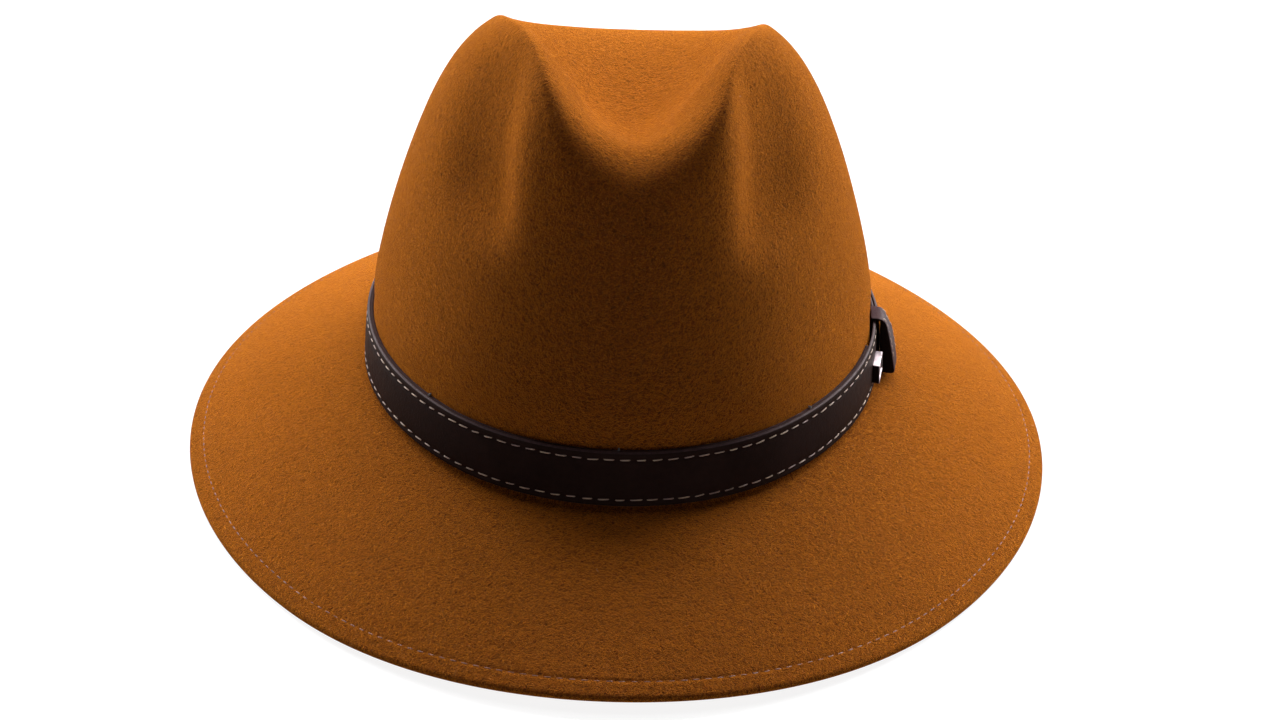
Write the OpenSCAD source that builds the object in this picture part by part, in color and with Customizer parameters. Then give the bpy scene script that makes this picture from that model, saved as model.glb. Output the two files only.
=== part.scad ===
// Fedora hat of wool felt with a stitched leather hat band.
// Millimetres, +Z up. The front of the hat faces -Y and +X is the wearer's left.
// The hat rests on its brim edge at z = 0, with its outline centred on the origin.

/* [Head opening] */
// Length of the head opening at the bottom of the sweatband
head_length = 199; // [190:0.5:215]
// Width of the head opening at the bottom of the sweatband
head_width = 169; // [160:0.5:182]
// Radius of the oval's front and back arcs
end_radius = 74; // [68:0.5:78]

/* [Felt] */
// Thickness of the felt
felt_t = 2.3; // [1.8:0.1:2.8]
// Room between the head opening and the inner face of the felt
felt_room = 1.5; // [1.3:0.1:2.5]
// Inward lean of the crown wall behind the band, as a share of height
wall_lean = 0.08; // [0.05:0.01:0.1]
// Height of the straight wall behind the band
wall_h = 20; // [18:0.5:24]

/* [Crown] */
// Height of the uncreased crown above the brim break
crown_h = 128.5; // [115:0.5:155]
// Fullness of the crown profile, larger is boxier
crown_power = 4.3; // [3.8:0.1:5.2]
// Rise of the front and fall of the back, per 100 mm of length
crown_tilt = 0.28; // [0.1:0.01:0.35]
// Depth of the front notch of the centre dent below the crown's height
notch_depth = 20.5; // [16:0.5:30]
// Depth of the lowest place of the centre dent below the crown's height
dent_depth = 33; // [28:0.5:40]
// Depth of the dent at its rear rim below the crown's height
rim_depth = 17.5; // [14:0.5:30]
// Half width of the centre dent, 12 mm above its floor, at the front
dent_front_w = 17; // [15:1:30]
// Half width of the centre dent, 12 mm above its floor, at the back
dent_back_w = 34; // [26:1:42]
// Rounding between the dent and the top of the crown
dent_round = 34; // [10:1:36]
// Distance of the dent's front notch from the centre line
dent_aside = 3; // [0:0.5:4]
// Depth of the two front pinches
pinch_depth = 6.5; // [4:0.5:10]
// Distance of each pinch from the centre line
pinch_x = 42; // [36:1:48]
// Distance of each pinch in front of the centre
pinch_y = 58; // [50:1:64]
// Depth of the pinches' middles below the crown's height
pinch_down = 25; // [16:1:30]
// Swell of the crown just above the band
fullness = 1.2; // [0:0.1:1.6]

/* [Brim] */
// Width of the brim from the crown to its edge, along the felt
brim_w = 68.8; // [50:0.1:85]
// Mean drop of the brim edge below the brim break
brim_drop = 25.6; // [15:0.1:32]
// Extra drop at the two sides, taken off at front and back
side_drop = 1.3; // [0:0.1:2]
// Extra drop half way between them, where the hat rests
corner_drop = 0.8; // [0.6:0.1:1.5]
// Distance of the edge thread inside the brim edge
edge_row = 5; // [3:0.5:8]

/* [Hat band] */
// Height of the strap
strap_h = 18.6; // [14:0.2:19]
// Height of the strap's lower edge above the brim break
strap_z = 1.8; // [1.6:0.1:2.4]
// Thickness of the strap's face leather
face_t = 1.1; // [0.9:0.1:1.6]
// Thickness of the strap's backing leather
backing_t = 1.05; // [1:0.05:1.5]
// Distance of each row of stitching inside the strap's edge
stitch_inset = 2.4; // [1.8:0.1:3.5]
// Diameter of the strap thread
thread_d = 0.5; // [0.3:0.05:0.6]
// Angle at which the overlapping end of the strap stops
tail_a0 = -4; // [-4.4:0.1:-3]
// Angle at which the overlap starts
tail_a1 = 14; // [12:1:20]

/* [Keeper] */
// Angle of the keeper's front edge, from the wearer's left
keeper_a0 = -6; // [-6.2:0.1:-5.6]
// Length of the keeper along the strap
keeper_len = 10; // [8:0.5:11]
// Thickness of the keeper's leather on the outside
keeper_t = 1.6; // [1.2:0.1:2]
// Thickness of the keeper's thinned leather behind the strap
keeper_back_t = 0.5; // [0.4:0.05:0.6]
// Thickness of the keeper's leather above and below the strap
keeper_fold_t = 1; // [0.8:0.1:1]
// Running clearance between the keeper and its neighbours
keeper_gap = 0.3; // [0.25:0.05:0.4]
// Thickening of the keeper's outer leaf at its upper edge
keeper_slack_top = 0.2; // [0:0.1:2]
// Thickening of the keeper's outer leaf at its lower edge
keeper_slack_low = 3.4; // [0:0.1:4]
// How far the keeper slides forward, in degrees
keeper_forward = 1.4; // [0.5:0.1:1.4]
// How far the keeper slides back, in degrees
keeper_back = 9; // [2:0.5:9]

/* [Badge] */
// Length of the metal badge along the strap
badge_len = 11; // [8:0.5:12]
// Height of the metal badge
badge_h = 7; // [5:0.5:8]
// Height of the badge's middle above the strap's lower edge
badge_up = 6.7; // [6.7:0.1:9]
// Thickness of the metal badge
badge_t = 2.8; // [1.5:0.1:3]
// Angle of the badge's rear edge, from the wearer's left
badge_a1 = -8.6; // [-10:0.1:-8.4]
// Diameter of the badge's prongs
prong_d = 1; // [0.8:0.1:1.2]

/* [Sweatband] */
// Height of the sweatband
sweat_h = 30; // [24:0.5:30]
// Thickness of the sweatband leather
sweat_t = 0.9; // [0.7:0.1:1]
// Inward lean of the sweatband, as a share of height
sweat_lean = 0.17; // [0.17:0.005:0.2]
// Depth of the sweatband's lower edge below the brim break
sweat_drop = 1.5; // [1:0.1:2]
// Diameter of the reed in the sweatband's lower edge
reed_d = 1.6; // [1.2:0.1:1.8]
// Width of the bow at the back of the sweatband
bow_w = 20; // [14:1:26]

/* [Lining] */
// Thickness of the satin lining
lining_t = 0.35; // [0.25:0.05:0.45]
// Room between the felt and the lining
lining_gap = 0.6; // [0.5:0.05:0.7]
// Diameter of the piping in the lining seam
piping_d = 1.2; // [0.8:0.1:1.6]

/* [Hidden] */
$fn = 144;

// Colours
felt_colour = "#8a4a1c";
strap_colour = "#2b1a1c";
thread_colour = "#c9a79c";
metal_colour = "#c8c8cc";
sweat_colour = "#6b4426";
satin_colour = "#9c8460";

// The oval is four arcs: two of end_radius at front and back, two of side_radius.
half_l = head_length / 2;
half_w = head_width / 2;
end_c = half_l - end_radius;
side_radius = (half_w * half_w + end_c * end_c - end_radius * end_radius)
    / (2 * (half_w - end_radius));
side_c = half_w - side_radius;
join_a = atan2(end_c, -side_c);
// Arc i is centred on the angle 90 * i; even arcs are the sides, odd ones back and front.
function arc_half(i) = i % 2 == 0 ? join_a : 90 - join_a;

// Offsets from the head opening, measured square to it at the brim break
felt_out = felt_room + felt_t;
backing_in = felt_out + 0.05;
face_in = backing_in + backing_t;
face_out = face_in + face_t;
tail_out = face_out + face_t + 0.05;
snug = 0.05;

// Steps of the faceted felt and lining
turns = 72;
crown_rings = 18;
seam_ring = 6;
step_a = 360 / turns;

function is_side(a) = abs((a + 90 + 720) % 180 - 90) < join_a;
function oval_point(a, d) =
    is_side(a)
        ? [sign(cos(a)) * side_c + (side_radius + d) * cos(a), (side_radius + d) * sin(a)]
        : [(end_radius + d) * cos(a), sign(sin(a)) * end_c + (end_radius + d) * sin(a)];

// Crown surface. a is the angle round the oval, k runs from 1 at the wall to 0 on top.
function smooth(t) = let (u = min(1, max(0, t))) u * u * (3 - 2 * u);
function soft_min(a, b, r) =
    let (h = min(1, max(0, 0.5 + (b - a) / (2 * r)))) b * (1 - h) + a * h - r * h * (1 - h);
notch_z = crown_h - notch_depth;
dent_z = crown_h - dent_depth;
rim_z = crown_h - rim_depth;
pinch_z = crown_h - pinch_down;
dent_y0 = -76;
dent_ym = -18;
dent_y1 = 52;
function dip(f) = f < 1 ? (1 - cos(135 * f)) / (1 - cos(135)) : 1 + 1.35 * (min(f, 1.6) - 1);
function dent_floor(y) =
    y < dent_ym
        ? dent_z + (notch_z - dent_z) * dip((dent_ym - y) / (dent_ym - dent_y0))
        : dent_z + (rim_z - dent_z) * dip((y - dent_ym) / (dent_y1 - dent_ym));
function dent_half(y) =
    dent_front_w + (dent_back_w - dent_front_w) * smooth((y - dent_y0) / (dent_y1 - dent_y0));
function trough(x, y) =
    let (
        w = dent_half(y),
        from = x - dent_aside * (1 - smooth((y - dent_y0) / 70)),
        u = sqrt(from * from / (w * w) + 0.02) - 0.14,
        sharp = 1.2 + 0.3 * smooth((y - dent_y0) / 50)
    )
    dent_floor(y) + 12 * pow(u, sharp) + 12 * pow(from / (w + 6), 4);
function dome(a, k) =
    let (
        p = oval_point(a, felt_out - wall_lean * wall_h) * k,
        rise = 1 - pow(k, crown_power),
        high = wall_h + (crown_h - wall_h) * rise * (1 - crown_tilt * p[1] / 100),
        z = rise > 0.3 ? soft_min(high, trough(p[0], p[1]), dent_round) : high,
        full = fullness * smooth((z - wall_h) / 14) * (1 - smooth((z - 42) / 50))
    )
    [p[0] + full * cos(a), p[1] + full * sin(a), z];
pinch_in = [0.72, -0.66, 0.2];
function pinched(p, s) =
    let (
        q = p - [s * pinch_x, -pinch_y, pinch_z],
        n = [s * pinch_in[0], pinch_in[1], pinch_in[2]],
        across = q[0] * s * 0.676 + q[1] * 0.737 - 0.3 * q[2],
        through = q * n,
        wide = across < 0 ? 12 : 20,
        g = pinch_depth
            * exp(-pow(abs(across) / wide, 2.3) - pow(q[2] / 26, 4) - pow(through / 40, 2))
    )
    p - n * g;
function crown(a, k) = pinched(pinched(dome(a, k), -1), 1);
function unit(v) = v / norm(v);
function crown_normal(a, k) =
    unit(cross(crown(a + 1, k) - crown(a - 1, k), crown(a, k - 0.01) - crown(a, k + 0.01)));
function crown_at(a, k, depth) = crown(a, k) - depth * crown_normal(a, min(k, 0.985));
function ring_k(i) = 1 - 0.96 * pow(i / crown_rings, 1.5);
function crown_ring(i, depth) =
    [for (j = [0:turns - 1]) crown_at(j * step_a, ring_k(i), depth)];
function crown_top(depth) = let (p = crown(0, 0)) [p[0], p[1], p[2] - depth];

// Wall behind the band, and the brim from the break (s = 0) to the edge (s = 1)
function level_ring(d, z) =
    [for (j = [0:turns - 1]) let (p = oval_point(j * step_a, d)) [p[0], p[1], z]];
function edge_drop(a) = brim_drop + side_drop * cos(2 * a) - corner_drop * cos(4 * a);
function brim_reach(a) = sqrt(brim_w * brim_w - pow(edge_drop(a), 2));
function brim_point(a, s, depth) =
    let (p = oval_point(a, felt_out + brim_reach(a) * s))
    [p[0], p[1], -(edge_drop(a) - felt_t / 2) * (0.75 * s + 0.25 * s * s) - depth];
function brim_ring(s, depth) = [for (j = [0:turns - 1]) brim_point(j * step_a, s, depth)];
brim_steps = 7;
function brim_s(i) = 0.06 + 0.94 * pow(i / brim_steps, 1.1);

// Frame: the lowest place of the brim edge is z = 0 and the outline is centred
rest_h = max([for (a = [0:5:355]) edge_drop(a)]) + felt_t / 2;
function place() = [0, 0, rest_h];

// Joins a list of rings of equal length into a skin; the rings run anticlockwise
function strip(i0, i1, n) =
    [for (j = [0:n - 1], f = [0, 1]) let (m = (j + 1) % n)
        f == 0 ? [i0 + j, i1 + j, i0 + m] : [i0 + m, i1 + j, i1 + m]];
function fan(i0, top, n) = [for (j = [0:n - 1]) [i0 + j, top, i0 + (j + 1) % n]];

// Closed band of rings, such as a tube or a collar: the last ring meets the first
module closed_band(rings) {
    n = len(rings[0]);
    m = len(rings);
    polyhedron(
        [for (r = rings, p = r) p],
        [for (i = [0:m - 1], f = strip(i * n, ((i + 1) % m) * n, n)) f]
    );
}

// Cup of two skins: outer rings up to a point, inner rings down from a point
module cup(outer, outer_top, inner, inner_top) {
    n = len(outer[0]);
    mo = len(outer);
    mi = len(inner);
    rings = concat(outer, inner);
    top = n * (mo + mi);
    polyhedron(
        concat([for (r = rings, p = r) p], [outer_top, inner_top]),
        concat(
            [for (i = [0:mo - 2], f = strip(i * n, (i + 1) * n, n)) f],
            fan((mo - 1) * n, top, n),
            [for (j = [0:n - 1]) [mo * n + j, mo * n + (j + 1) % n, top + 1]],
            [for (i = [mo:mo + mi - 2], f = strip(i * n, (i + 1) * n, n)) f],
            strip((mo + mi - 1) * n, 0, n)
        )
    );
}

// Sweeps a 2D section, drawn in (offset, height), along the oval between two angles
module along_oval(a0, a1) {
    for (i = [-1:5]) {
        mid = 90 * i;
        from = max(a0, mid - arc_half(i));
        to = min(a1, mid + arc_half(i));
        side = i % 2 == 0;
        if (to - from > 0.01)
            translate(side ? [cos(mid) * side_c, 0] : [0, sin(mid) * end_c])
                rotate(from)
                    rotate_extrude(angle = to - from)
                        translate([side ? side_radius : end_radius, 0]) children();
    }
}

// Section of a leaning layer between two offsets and two heights
module layer(d0, d1, z0, z1, lean = wall_lean) {
    polygon([
        [d0 - lean * z0, z0], [d1 - lean * z0, z0], [d1 - lean * z1, z1], [d0 - lean * z1, z1]
    ]);
}

// Sweeps a section all round the oval, starting and ending where two arcs meet
module round_oval() {
    along_oval(join_a, 360 + join_a) children();
}

// A straight piece that points outward from the oval at angle a, from offset d0 to d1
module outward(a, z, d0, d1, dia) {
    p = oval_point(a, d0 - wall_lean * z);
    translate([p[0], p[1], z]) rotate([0, 90, a]) cylinder(d = dia, h = d1 - d0, $fn = 24);
}

strap_top = strap_z + strap_h;
row_upper = strap_top - stitch_inset;
row_lower = strap_z + stitch_inset;
groove_w = thread_d + 0.1;
groove_d = thread_d * 0.6 + 0.05;

// The two grooves that the rows of stitching lie in
module row_grooves(d_out) {
    for (z = [row_upper, row_lower])
        layer(d_out - groove_d, d_out + 1, z - groove_w / 2, z + groove_w / 2);
}

module row_section(d_out, z) {
    translate([d_out - wall_lean * z - thread_d * 0.1, z]) circle(d = thread_d, $fn = 8);
}

// Angles in which the backing is left out, for the keeper's travel and the badge's plate
badge_a0 = badge_a1 - badge_len / (side_radius + face_out) * 180 / PI;
keeper_span = keeper_len / (side_radius + tail_out) * 180 / PI;
keeper_a1 = keeper_a0 + keeper_span;
bare_a0 = badge_a0 - 1;
bare_a1 = keeper_a1 + keeper_back + 1.25;

// Felt: crown, wall and brim are one pressed piece of felt
module felt_body() {
    under = felt_t;
    color(felt_colour)
        translate(place())
            cup(
                concat(
                    [for (i = [brim_steps:-1:0]) brim_ring(brim_s(i), 0)],
                    [
                        level_ring(felt_out + 1, -0.35),
                        level_ring(felt_out + 0.25, 0.3),
                        level_ring(felt_out - wall_lean * 1.3, 1.3),
                        level_ring(felt_out - wall_lean * wall_h / 2, wall_h / 2)
                    ],
                    [for (i = [0:crown_rings]) crown_ring(i, 0)]
                ),
                crown_top(0),
                concat(
                    [for (i = [crown_rings:-1:0]) crown_ring(i, felt_t)],
                    [
                        level_ring(felt_room - wall_lean * wall_h / 2, wall_h / 2),
                        level_ring(felt_room - wall_lean, 1),
                        level_ring(felt_room + 0.1, -0.8),
                        level_ring(felt_room + 0.6, -under + 0.3),
                        level_ring(felt_room + 1.6, -under - 0.25)
                    ],
                    [for (i = [0:brim_steps]) brim_ring(brim_s(i), under)]
                ),
                crown_top(felt_t)
            );
}

// Thread of the stitched row just inside the brim edge
module brim_edge_thread() {
    r = 0.3;
    s = 1 - edge_row / brim_w;
    color("#6d3612")
        translate(place())
            closed_band([
                for (i = [0:5])
                    [for (j = [0:turns - 1])
                        let (
                            a = j * step_a,
                            p = brim_point(a, s, -r - 0.15),
                            out = r * cos(i * 60)
                        )
                        [p[0] + out * cos(a), p[1] + out * sin(a), p[2] + r * sin(i * 60)]]
            ]);
}

// Face leather of the strap, and its end that laps over it through the keeper
module band_strap() {
    color(strap_colour)
        translate(place()) {
            difference() {
                round_oval() strap_section(face_in, face_out);
                prong_places() outward_prong(face_in - 0.5, face_out + 0.5, prong_d + 2 * snug);
            }
            along_oval(tail_a0, tail_a1) strap_section(face_out + snug, tail_out);
        }
}

module strap_section(d_in, d_out) {
    difference() {
        layer(d_in, d_out, strap_z, strap_top);
        row_grooves(d_out);
    }
}

// Backing leather between the strap's face and the felt
module band_backing() {
    color("#3a2522")
        translate(place())
            along_oval(bare_a1, 360 + bare_a0)
                layer(backing_in, face_in - snug, strap_z, strap_top);
}

// One row of thread, along the single strap and along its overlapping end
module thread_row(z) {
    color(thread_colour)
        translate(place()) {
            along_oval(tail_a0, tail_a1) row_section(tail_out, z);
            along_oval(tail_a1 + 0.1, 360 + tail_a0 - 0.1) row_section(face_out, z);
        }
}

module band_thread_upper() { thread_row(row_upper); }

module band_thread_lower() { thread_row(row_lower); }

// Thread tacks that hold the strap to the crown, under its upper edge
module band_tacks() {
    color(strap_colour)
        translate(place())
            for (a = [-140, -90, -40, 50, 90, 140])
                outward(a, strap_top + 0.45, felt_out + snug, face_in, 0.6);
}

// Keeper: a leather loop round the strap and its overlapping end
keeper_in = felt_out + keeper_gap;
keeper_snug = tail_out + thread_d * 0.4 + keeper_gap;
keeper_out = keeper_snug + keeper_slack_top + keeper_t;
keeper_z0 = strap_z - keeper_gap;
keeper_z1 = strap_top + keeper_gap;
// Offset of the loop's outer leaf at height z; the leaf hangs further out at the bottom
keeper_spread = (keeper_slack_low - keeper_slack_top) / (keeper_z1 - keeper_z0);
keeper_lean = wall_lean + keeper_spread;
keeper_leaf_out = keeper_out + keeper_spread * keeper_z1;
module leaf_layer(depth0, depth1, z0, z1) {
    layer(keeper_leaf_out - depth0, keeper_leaf_out - depth1, z0, z1, keeper_lean);
}

module keeper_section() {
    low = keeper_z0 - keeper_fold_t;
    high = keeper_z1 + keeper_fold_t;
    difference() {
        polygon([
            [keeper_in - wall_lean * low, low], [keeper_leaf_out - keeper_lean * low, low],
            [keeper_leaf_out - keeper_lean * high, high], [keeper_in - wall_lean * high, high]
        ]);
        polygon([
            [keeper_in + keeper_back_t - wall_lean * keeper_z0, keeper_z0],
            [keeper_snug - wall_lean * keeper_z0, keeper_z0],
            [keeper_snug - wall_lean * keeper_z1, keeper_z1],
            [keeper_in + keeper_back_t - wall_lean * keeper_z1, keeper_z1]
        ]);
    }
}

module keeper_loop() {
    color(strap_colour)
        translate(place())
            difference() {
                along_oval(keeper_a0, keeper_a1) keeper_section();
                keeper_rows() leaf_layer(groove_d, -1, keeper_z0 + 0.4, keeper_z1 - 0.4);
            }
}

module keeper_rows() {
    inset = 1.6 / (side_radius + keeper_out) * 180 / PI;
    half = groove_w / 2 / (side_radius + keeper_out) * 180 / PI;
    for (a = [keeper_a0 + inset, keeper_a1 - inset])
        along_oval(a - half, a + half) children();
}

// Two rows of thread across the keeper
module keeper_thread() {
    color(thread_colour)
        translate(place())
            keeper_rows() leaf_layer(groove_d - snug, -0.1, keeper_z0 + 0.5, keeper_z1 - 0.5);
}

badge_mid = (badge_a0 + badge_a1) / 2;
badge_z = strap_z + badge_up;

module prong_places() {
    quarter = (badge_a1 - badge_a0) / 4;
    for (a = [badge_mid - quarter, badge_mid + quarter]) {
        $prong_a = a;
        children();
    }
}

module outward_prong(d0, d1, dia) {
    outward($prong_a, badge_z, d0, d1, dia);
}

// Metal badge: a plain plate with a raised rim
module badge_plate() {
    rim = 1;
    edge_a = rim / (side_radius + face_out) * 180 / PI;
    color(metal_colour)
        translate(place())
            difference() {
                along_oval(badge_a0, badge_a1) layer(
                    face_out + snug, face_out + badge_t,
                    badge_z - badge_h / 2, badge_z + badge_h / 2
                );
                along_oval(badge_a0 + edge_a, badge_a1 - edge_a) layer(
                    face_out + badge_t - 0.4, face_out + badge_t + 1,
                    badge_z - badge_h / 2 + rim, badge_z + badge_h / 2 - rim
                );
            }
}

// Prongs that run from the badge through the strap
module badge_prongs() {
    color(metal_colour)
        translate(place())
            prong_places() outward_prong(face_in - 0.1, face_out, prong_d);
}

// Thin plate behind the strap that the prongs are clenched on
module badge_backplate() {
    color(metal_colour)
        translate(place())
            along_oval(badge_a0 + 0.2, badge_a1 - 0.2) layer(
                felt_out + 0.3, face_in - 0.1,
                badge_z - badge_h / 2 + 0.5, badge_z + badge_h / 2 - 0.5
            );
}

// Sweatband of thin leather inside the crown
sweat_z0 = -sweat_drop;
sweat_z1 = sweat_z0 + sweat_h;
module sweat_layer(d0, d1, z0, z1) {
    translate([sweat_lean * sweat_z0, 0]) layer(d0, d1, z0, z1, sweat_lean);
}

function sweat_offset(z) = -sweat_lean * (z - sweat_z0);

module sweatband() {
    color(sweat_colour)
        translate(place())
            round_oval() sweat_layer(0, sweat_t, sweat_z0, sweat_z1);
}

// Reed that stiffens the sweatband's lower edge
module sweatband_reed() {
    color("#d8d0c0")
        translate(place())
            round_oval()
                translate([sweat_t / 2 + 0.1, sweat_z0 - reed_d / 2 - snug])
                    circle(d = reed_d, $fn = 8);
}

// Cloth tape that carries the reed and is sewn behind the sweatband
module reed_tape() {
    color("#1d1a1a")
        translate(place())
            round_oval()
                sweat_layer(sweat_t + snug, sweat_t + 0.3, sweat_z0 + 0.2, sweat_z0 + 6.5);
}

// Row of thread along the sweatband's lower edge
module sweatband_thread() {
    r = 0.2;
    z = sweat_z0 + 2.5;
    color(thread_colour)
        translate(place())
            round_oval()
                translate([sweat_offset(z) - r - 0.02, z]) circle(r = r, $fn = 8);
}

// Cross stitches that close the sweatband's seam at the back
module back_seam_stitches() {
    color("#3a2415")
        translate(place())
            for (z = [sweat_z0 + 16:3:sweat_z1 - 3])
                translate([0, half_l + sweat_offset(z) - 0.35, z])
                    rotate([0, 90, 0]) cylinder(d = 0.4, h = 4, center = true, $fn = 24);
}

// Ribbon bow at the back of the sweatband
module sweatband_bow() {
    z = sweat_z0 + 8;
    ribbon = 0.5;
    loop_r = 1.8;
    color("#1d1a1a")
        translate(place() + [0, half_l + sweat_offset(z + 4) - 3.2, z]) {
            translate([0, 0, 2]) cube([3, 3.6, 5], center = true);
            for (s = [-1, 1]) {
                linear_extrude(height = 4)
                    difference() {
                        bow_loop(s, loop_r);
                        bow_loop(s, loop_r - ribbon);
                    }
                translate([s * 1.2, 0, 0.6])
                    rotate([0, s * 35, 0])
                        translate([-1.8, 0.6, -9]) cube([3.6, ribbon, 9]);
            }
        }
}

module bow_loop(s, r) {
    far = bow_w / 2 - 1.8;
    translate([s * far, 0]) circle(r = r, $fn = 32);
    polygon([[s * 1.2, -r * 0.25], [s * far, -r], [s * far, r], [s * 1.2, r * 0.25]]);
}

// Blank size label on the inside of the sweatband
module size_label() {
    color("#e8e2d2")
        translate(place())
            along_oval(104, 116)
                sweat_layer(-0.35, -0.05, sweat_z0 + 12, sweat_z0 + 22);
}

lining_out = felt_t + lining_gap;
lining_in = lining_out + lining_t;

// Side of the satin lining, from behind the sweatband to the seam
module lining_side() {
    color(satin_colour)
        translate(place())
            closed_band(concat(
                [for (i = [1:seam_ring]) crown_ring(i, lining_out)],
                [for (i = [seam_ring:-1:1]) crown_ring(i, lining_in)]
            ));
}

// Top of the satin lining
module lining_tip() {
    color(satin_colour)
        translate(place())
            cup(
                [for (i = [seam_ring:crown_rings]) crown_ring(i, lining_out)],
                crown_top(lining_out),
                [for (i = [crown_rings:-1:seam_ring]) crown_ring(i, lining_in)],
                crown_top(lining_in)
            );
}

// Piping along the seam of the lining
module lining_piping() {
    r = piping_d / 2;
    k = ring_k(seam_ring);
    color("#2b2320")
        translate(place())
            closed_band([
                for (i = [0:5])
                    [for (j = [0:turns - 1])
                        let (
                            a = j * step_a,
                            n = crown_normal(a, k),
                            up = unit([0, 0, 1] - n * n[2]),
                            p = crown_at(a, k, lining_in + r + snug)
                        )
                        p + r * cos(i * 60) * n + r * sin(i * 60) * up]
            ]);
}

felt_body();
brim_edge_thread();
band_strap();
band_backing();
band_thread_upper();
band_thread_lower();
band_tacks();
keeper_loop();
keeper_thread();
badge_plate();
badge_prongs();
badge_backplate();
sweatband();
sweatband_reed();
reed_tape();
sweatband_thread();
back_seam_stitches();
sweatband_bow();
size_label();
lining_side();
lining_tip();
lining_piping();
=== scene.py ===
import math

import bmesh
import bpy
import numpy as np
from mathutils import Matrix, Vector


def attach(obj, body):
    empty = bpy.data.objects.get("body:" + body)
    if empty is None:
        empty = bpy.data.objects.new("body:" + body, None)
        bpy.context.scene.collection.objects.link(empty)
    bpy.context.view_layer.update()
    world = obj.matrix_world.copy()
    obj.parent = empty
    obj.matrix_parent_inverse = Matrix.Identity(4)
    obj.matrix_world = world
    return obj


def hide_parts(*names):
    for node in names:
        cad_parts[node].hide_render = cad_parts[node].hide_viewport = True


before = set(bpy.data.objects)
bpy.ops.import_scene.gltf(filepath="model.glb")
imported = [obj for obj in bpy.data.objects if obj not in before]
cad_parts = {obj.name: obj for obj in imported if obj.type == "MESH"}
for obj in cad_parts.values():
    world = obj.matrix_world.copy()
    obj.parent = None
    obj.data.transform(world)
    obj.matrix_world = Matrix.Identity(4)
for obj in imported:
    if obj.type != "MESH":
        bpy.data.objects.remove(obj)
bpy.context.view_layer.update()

MM = 0.001

# Sizes in millimetres and places in degrees round the oval, as in part.scad; only FULLNESS and
# BADGE_T differ a little from it.
HALF_L, HALF_W, END_R = 99.5, 84.5, 74.0
FELT_T, FELT_ROOM, WALL_LEAN, WALL_H = 2.3, 1.5, 0.08, 20.0
CROWN_H, CROWN_POWER, CROWN_TILT, FULLNESS = 128.5, 4.3, 0.28, 1.6
NOTCH_DEPTH, DENT_DEPTH, RIM_DEPTH = 20.5, 33.0, 17.5
DENT_FRONT_W, DENT_BACK_W, DENT_ROUND, DENT_ASIDE = 17.0, 34.0, 34.0, 3.0
DENT_Y0, DENT_YM, DENT_Y1 = -76.0, -18.0, 52.0
PINCH_DEPTH, PINCH_X, PINCH_Y, PINCH_DOWN = 6.5, 42.0, 58.0, 25.0
PINCH_IN, PINCH_SIDE, PINCH_TALL, PINCH_THROUGH, PINCH_LEAN = 12.0, 20.0, 26.0, 40.0, 0.3
BRIM_W, BRIM_DROP, SIDE_DROP, CORNER_DROP, EDGE_ROW = 68.8, 25.6, 1.3, 0.8, 5.0
STRAP_H, STRAP_Z, FACE_T, BACKING_T, STITCH_INSET = 18.6, 1.8, 1.1, 1.05, 2.4
TAIL_A0, TAIL_A1 = -4.0, 14.0
KEEPER_A0, KEEPER_LEN, KEEPER_T, KEEPER_BACK_T, KEEPER_FOLD_T = -6.0, 10.0, 1.6, 0.5, 1.0
KEEPER_GAP, KEEPER_SLACK_TOP, KEEPER_SLACK_LOW, KEEPER_BACK = 0.3, 0.2, 3.4, 9.0
THREAD_D = 0.5
BADGE_LEN, BADGE_H, BADGE_T, BADGE_UP, BADGE_A1 = 11.0, 7.0, 2.5, 6.7, -8.6
SWEAT_H, SWEAT_T, SWEAT_LEAN, SWEAT_DROP, REED_D, BOW_W = 30.0, 0.9, 0.17, 1.5, 1.6, 20.0
LINING_T, LINING_GAP, PIPING_D, SEAM_RING, CROWN_RINGS = 0.35, 0.6, 1.2, 6, 18

# Values that follow from them
NOTCH_Z, DENT_Z, RIM_Z = CROWN_H - NOTCH_DEPTH, CROWN_H - DENT_DEPTH, CROWN_H - RIM_DEPTH
PINCH_Z = CROWN_H - PINCH_DOWN
SNUG = 0.05
FELT_OUT = FELT_ROOM + FELT_T
BACKING_IN = FELT_OUT + SNUG
FACE_IN = BACKING_IN + BACKING_T
FACE_OUT = FACE_IN + FACE_T
TAIL_OUT = FACE_OUT + FACE_T + SNUG
STRAP_TOP = STRAP_Z + STRAP_H
ROW_LOWER, ROW_UPPER = STRAP_Z + STITCH_INSET, STRAP_TOP - STITCH_INSET
LINING_OUT = FELT_T + LINING_GAP
END_C = HALF_L - END_R
SIDE_R = (HALF_W**2 + END_C**2 - END_R**2) / (2 * (HALF_W - END_R))
SIDE_C = HALF_W - SIDE_R
JOIN_A = math.degrees(math.atan2(END_C, -SIDE_C))


# ---------------- shape of the hat

def is_side(a):
    """Whether the angle a lies on one of the oval's two side arcs."""
    return np.abs((a + 90) % 180 - 90) < JOIN_A


def oval(a, d):
    """Point of the four-arc oval whose outward normal has angle a, moved out by d."""
    a, d = np.broadcast_arrays(np.asarray(a, float), np.asarray(d, float))
    c, s = np.cos(np.radians(a)), np.sin(np.radians(a))
    side = is_side(a)
    r = np.where(side, SIDE_R, END_R) + d
    x = np.where(side, np.sign(c) * SIDE_C, 0) + r * c
    y = np.where(side, 0, np.sign(s) * END_C) + r * s
    return x, y


def smooth(t):
    """Smooth step from 0 at t = 0 to 1 at t = 1."""
    t = np.clip(t, 0, 1)
    return t * t * (3 - 2 * t)


def hump(x, middle, width):
    """Smooth hump of height 1 at the middle."""
    return np.exp(-(((x - middle) / width) ** 2))


def unit(v):
    """Directions v at length 1."""
    return v / np.linalg.norm(v, axis=-1, keepdims=True)


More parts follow.
